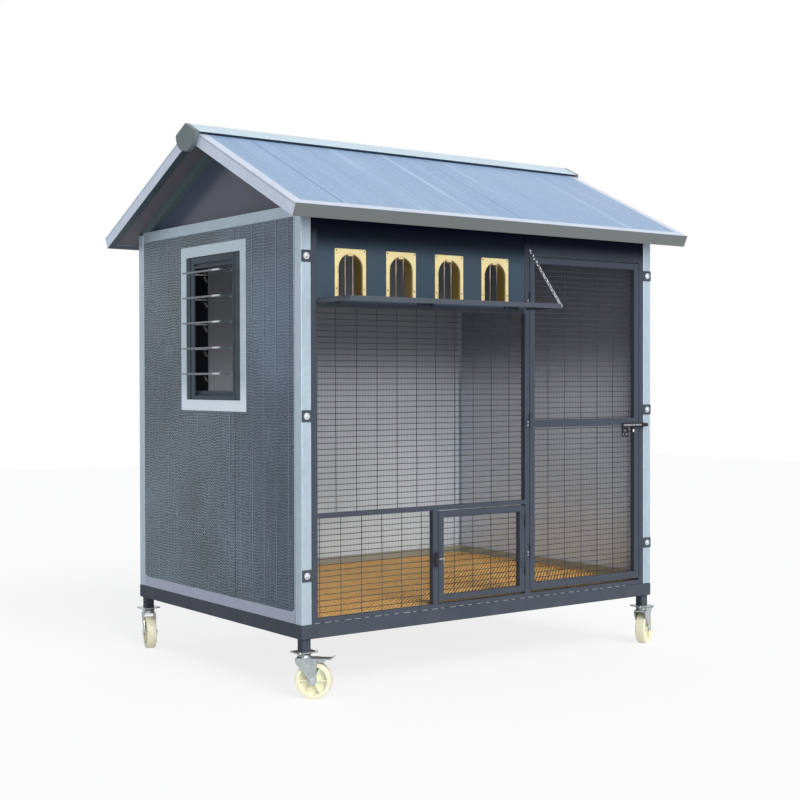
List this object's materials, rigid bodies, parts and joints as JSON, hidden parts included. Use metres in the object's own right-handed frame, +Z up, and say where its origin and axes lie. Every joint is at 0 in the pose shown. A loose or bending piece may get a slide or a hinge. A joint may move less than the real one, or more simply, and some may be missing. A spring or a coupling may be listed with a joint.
{
  "type": "walk-in pigeon cage on casters",
  "caption": "Walk-in pigeon cage: steel frame on braked casters, insulated walls and gabled roof, wire mesh front with doors, arched bob-wire entrances over a folding landing board, louvred window.",
  "frame": {"origin": "on the ground under the middle of the cage's bounding box, between the casters", "axes": "+Z up, +X to the right seen from the mesh front, +Y from the front to the rear wall"},
  "size_m": [2.2626, 1.832, 2.4047],
  "materials": {
    "dark_paint": "dark grey satin paint on steel tube and sheet",
    "black_wire": "dark coated welded wire",
    "black_fitting": "black enamel",
    "zinc_sheet": "galvanised sheet and tube, satin",
    "zinc_steel": "bright zinc plating",
    "wall_skin": "coated steel skin of the sandwich wall panels",
    "roof_skin": "coated steel skin of the roof panels",
    "gold_sheet": "gold anodised, satin",
    "timber": "varnished slats",
    "nylon": "cream nylon",
    "louvre_glass": "clear float glass"
  },
  "bodies": {
    "cage": {"base_frame": "dark_paint", "corner_post_front_left": "zinc_sheet", "corner_post_front_right": "zinc_sheet", "corner_post_rear_left": "zinc_sheet", "corner_post_rear_right": "zinc_sheet", "floor_grating": "timber", "left_wall_panel": "wall_skin", "right_wall_panel": "wall_skin", "rear_wall_panel": "wall_skin", "left_wall_channels": "zinc_sheet", "right_wall_channels": "zinc_sheet", "rear_wall_channels": "zinc_sheet", "window_trim": "zinc_sheet", "window_frame": "dark_paint", "front_frame": "dark_paint", "upper_mesh": "black_wire", "lower_mesh": "black_wire", "entrance_panel": "dark_paint", "entrance_surround_1": "gold_sheet", "entrance_surround_2": "gold_sheet", "entrance_surround_3": "gold_sheet", "entrance_surround_4": "gold_sheet", "board_chain": "zinc_steel", "gable_panel_left": "dark_paint", "gable_panel_right": "dark_paint", "roof_panel_front": "roof_skin", "roof_panel_rear": "roof_skin", "roof_edging_front": "zinc_sheet", "roof_edging_rear": "zinc_sheet", "ridge_cap": "zinc_sheet", "caster_plate_front_left": "zinc_steel", "caster_plate_front_right": "zinc_steel", "caster_plate_rear_left": "zinc_steel", "caster_plate_rear_right": "zinc_steel"},
    "swivel_front_left": {"caster_fork_front_left": "zinc_steel"},
    "swivel_front_right": {"caster_fork_front_right": "zinc_steel"},
    "swivel_rear_left": {"caster_fork_rear_left": "zinc_steel"},
    "swivel_rear_right": {"caster_fork_rear_right": "zinc_steel"},
    "wheel_front_left": {"caster_wheel_front_left": "nylon"},
    "wheel_front_right": {"caster_wheel_front_right": "nylon"},
    "wheel_rear_left": {"caster_wheel_rear_left": "nylon"},
    "wheel_rear_right": {"caster_wheel_rear_right": "nylon"},
    "brake_front_left": {"brake_pedal_front_left": "zinc_steel"},
    "brake_front_right": {"brake_pedal_front_right": "zinc_steel"},
    "door": {"door_frame": "dark_paint", "door_mesh": "black_wire"},
    "bolt": {"door_bolt": "zinc_steel"},
    "small_door": {"small_door_frame": "dark_paint", "small_door_mesh": "black_wire"},
    "latch": {"small_door_latch": "black_fitting"},
    "board": {"landing_board": "dark_paint"},
    "louvre_1": {"louvre_1": "louvre_glass"},
    "louvre_2": {"louvre_2": "louvre_glass"},
    "louvre_3": {"louvre_3": "louvre_glass"},
    "louvre_4": {"louvre_4": "louvre_glass"},
    "louvre_5": {"louvre_5": "louvre_glass"},
    "bobs_1": {"entrance_bobs_1": "zinc_steel"},
    "bobs_2": {"entrance_bobs_2": "zinc_steel"},
    "bobs_3": {"entrance_bobs_3": "zinc_steel"},
    "bobs_4": {"entrance_bobs_4": "zinc_steel"}
  },
  "joints": [
    {"name": "front_left_swivel", "type": "hinge", "parent": "cage", "child": "swivel_front_left", "pos_m": [-0.97, -0.645, 0.18], "axis": [0, 0, 1], "continuous": true},
    {"name": "front_right_swivel", "type": "hinge", "parent": "cage", "child": "swivel_front_right", "pos_m": [0.97, -0.645, 0.18], "axis": [0, 0, 1], "continuous": true},
    {"name": "rear_left_swivel", "type": "hinge", "parent": "cage", "child": "swivel_rear_left", "pos_m": [-0.97, 0.749, 0.18], "axis": [0, 0, 1], "continuous": true},
    {"name": "rear_right_swivel", "type": "hinge", "parent": "cage", "child": "swivel_rear_right", "pos_m": [0.97, 0.749, 0.18], "axis": [0, 0, 1], "continuous": true},
    {"name": "front_left_wheel_spin", "type": "hinge", "parent": "swivel_front_left", "child": "wheel_front_left", "pos_m": [-0.94172, -0.67328, 0.075], "axis": [0.7071, 0.7071, 0], "continuous": true},
    {"name": "front_right_wheel_spin", "type": "hinge", "parent": "swivel_front_right", "child": "wheel_front_right", "pos_m": [1.00564, -0.62684, 0.075], "axis": [-0.454, 0.891, 0], "continuous": true},
    {"name": "rear_left_wheel_spin", "type": "hinge", "parent": "swivel_rear_left", "child": "wheel_rear_left", "pos_m": [-0.98236, 0.71096, 0.075], "axis": [0.9511, -0.309, 0], "continuous": true},
    {"name": "rear_right_wheel_spin", "type": "hinge", "parent": "swivel_rear_right", "child": "wheel_rear_right", "pos_m": [0.99, 0.78364, 0.075], "axis": [-0.866, 0.5, 0], "continuous": true},
    {"name": "front_left_brake", "type": "hinge", "parent": "swivel_front_left", "child": "brake_front_left", "pos_m": [-0.93464, -0.68036, 0.15801], "axis": [-0.7071, -0.7071, 0], "range_deg": [0, 15]},
    {"name": "front_right_brake", "type": "hinge", "parent": "swivel_front_right", "child": "brake_front_right", "pos_m": [1.01455, -0.6223, 0.15801], "axis": [0.454, -0.891, 0], "range_deg": [0, 15]},
    {"name": "door_hinge", "type": "hinge", "parent": "cage", "child": "door", "pos_m": [0.221, -0.681, 1], "axis": [0, 0, -1], "range_deg": [0, 90]},
    {"name": "bolt_slide", "type": "slide", "parent": "door", "child": "bolt", "axis": [1, 0, 0], "range_m": [0, 0.03]},
    {"name": "small_door_hinge", "type": "hinge", "parent": "cage", "child": "small_door", "pos_m": [0.191, -0.681, 0.55], "axis": [0, 0, 1], "range_deg": [0, 90]},
    {"name": "latch_turn", "type": "hinge", "parent": "cage", "child": "latch", "pos_m": [-0.319, -0.6795, 0.5135], "axis": [0, 1, 0], "range_deg": [0, 90]},
    {"name": "board_fold", "type": "hinge", "parent": "cage", "child": "board", "pos_m": [-0.37035, -0.681, 1.618], "axis": [-1, 0, 0], "range_deg": [0, 90], "deforming": ["board_chain"]},
    {"name": "louvre_1_turn", "type": "hinge", "parent": "cage", "child": "louvre_1", "pos_m": [-0.966, 0.052, 1.763], "axis": [0, -1, 0], "range_deg": [0, 75]},
    {"name": "louvre_2_turn", "type": "hinge", "parent": "cage", "child": "louvre_2", "pos_m": [-0.966, 0.052, 1.65075], "axis": [0, -1, 0], "range_deg": [0, 75]},
    {"name": "louvre_3_turn", "type": "hinge", "parent": "cage", "child": "louvre_3", "pos_m": [-0.966, 0.052, 1.53851], "axis": [0, -1, 0], "range_deg": [0, 75]},
    {"name": "louvre_4_turn", "type": "hinge", "parent": "cage", "child": "louvre_4", "pos_m": [-0.966, 0.052, 1.42626], "axis": [0, -1, 0], "range_deg": [0, 75]},
    {"name": "louvre_5_turn", "type": "hinge", "parent": "cage", "child": "louvre_5", "pos_m": [-0.966, 0.052, 1.31401], "axis": [0, -1, 0], "range_deg": [0, 75]},
    {"name": "bobs_1_swing", "type": "hinge", "parent": "cage", "child": "bobs_1", "pos_m": [-0.7587, -0.663, 1.79401], "axis": [1, 0, 0], "range_deg": [0, 75]},
    {"name": "bobs_2_swing", "type": "hinge", "parent": "cage", "child": "bobs_2", "pos_m": [-0.50047, -0.663, 1.79401], "axis": [1, 0, 0], "range_deg": [0, 75]},
    {"name": "bobs_3_swing", "type": "hinge", "parent": "cage", "child": "bobs_3", "pos_m": [-0.24223, -0.663, 1.79401], "axis": [1, 0, 0], "range_deg": [0, 75]},
    {"name": "bobs_4_swing", "type": "hinge", "parent": "cage", "child": "bobs_4", "pos_m": [0.016, -0.663, 1.79401], "axis": [1, 0, 0], "range_deg": [0, 75]}
  ],
  "couplings": [
    {"joint": "louvre_2_turn", "follows": "louvre_1_turn", "ratio": 1},
    {"joint": "louvre_3_turn", "follows": "louvre_1_turn", "ratio": 1},
    {"joint": "louvre_4_turn", "follows": "louvre_1_turn", "ratio": 1},
    {"joint": "louvre_5_turn", "follows": "louvre_1_turn", "ratio": 1}
  ]
}
